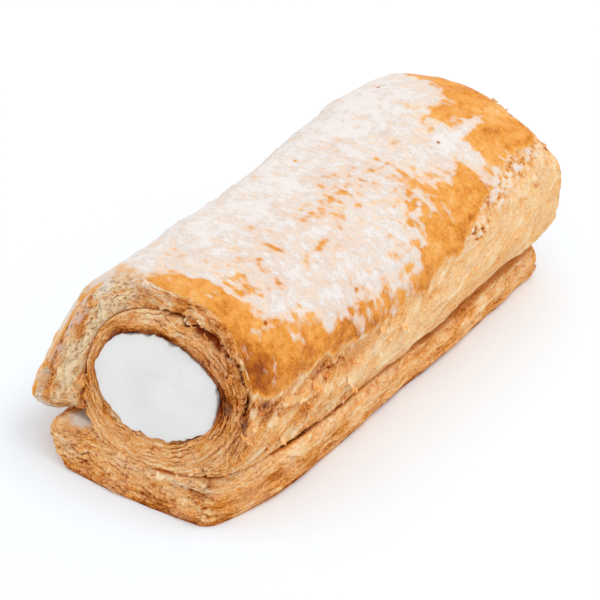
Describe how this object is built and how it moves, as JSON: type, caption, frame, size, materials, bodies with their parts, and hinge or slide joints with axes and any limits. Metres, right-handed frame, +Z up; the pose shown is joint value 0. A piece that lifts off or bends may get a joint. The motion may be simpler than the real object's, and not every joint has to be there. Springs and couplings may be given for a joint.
{
  "type": "cream horn",
  "caption": "Tubular puff-pastry cream horn on a flat pastry base, open at both ends, filled with whipped cream and dusted with icing sugar.",
  "frame": {"origin": "on the table under the middle of the object's box", "axes": "+Y along the roll from the front end that the picture shows to the back end, +Z up, +X to the right seen from the front end"},
  "size_m": [0.06, 0.1281, 0.0482],
  "materials": {
    "pastry": "baked puff pastry: flaky cut leaves, golden glazed top, icing sugar",
    "cream": "smooth whipped cream"
  },
  "bodies": {
    "root": {"pastry": "pastry", "cream": "cream"}
  },
  "joints": []
}
